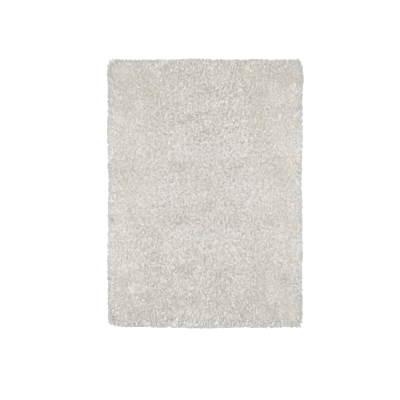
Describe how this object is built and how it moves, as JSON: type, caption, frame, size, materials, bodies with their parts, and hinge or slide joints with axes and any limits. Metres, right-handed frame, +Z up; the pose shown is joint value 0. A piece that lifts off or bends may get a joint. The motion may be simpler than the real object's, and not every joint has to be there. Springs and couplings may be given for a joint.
{
  "type": "shag rug",
  "caption": "Rectangular off-white shag rug with long leaning pile, rounded corners and soft uneven edges, lying flat.",
  "frame": {"origin": "on the floor, under the middle of the rug's outline", "axes": "+Z up out of the pile, +Y along the rug's length, +X across its width"},
  "size_m": [1.6164, 2.2238, 0.0526],
  "materials": {
    "pile": "soft off-white yarn pile with a faint silky sheen"
  },
  "bodies": {
    "root": {"shag_rug": "pile"}
  },
  "joints": []
}
